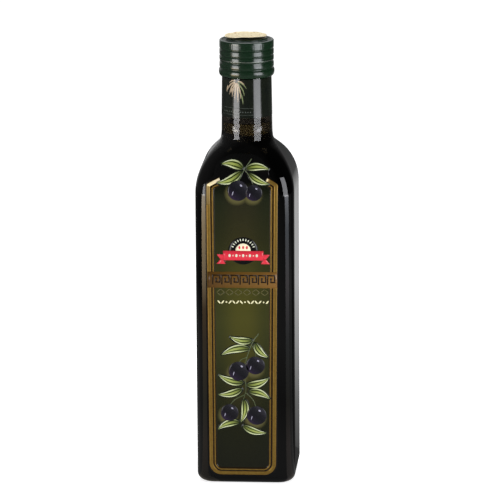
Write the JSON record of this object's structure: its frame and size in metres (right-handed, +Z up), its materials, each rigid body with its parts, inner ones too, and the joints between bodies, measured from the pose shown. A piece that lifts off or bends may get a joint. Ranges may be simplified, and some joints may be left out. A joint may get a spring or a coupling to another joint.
{
  "type": "oil bottle",
  "caption": "Square dark glass bottle of cooking oil with rounded shoulders and a round neck, shut by a ribbed screw cap over a tear-off ring, with a foil seal and labels.",
  "frame": {"origin": "centre of the base, in the plane that the bottle stands on", "axes": "+Z up along the neck, -Y towards the viewer through the front label, +X to the viewer's right"},
  "size_m": [0.0586, 0.0591, 0.2656],
  "materials": {
    "green_glass": "smooth, nearly black green glass",
    "olive_oil": "clear golden green oil",
    "green_lacquer": "satin lacquer on rolled aluminium",
    "green_lacquer_band": "satin lacquer on rolled aluminium",
    "gold_foil": "embossed pale gold foil paper",
    "label_print": "coated label paper printed in dark olive and metallic gold",
    "neck_film": "clear film with a printed pattern"
  },
  "bodies": {
    "root": {"bottle": "green_glass", "oil": "olive_oil", "cap": "green_lacquer", "tamper_band": "green_lacquer_band", "cap_seal": "gold_foil", "front_label": "label_print", "neck_label": "neck_film"}
  },
  "joints": []
}
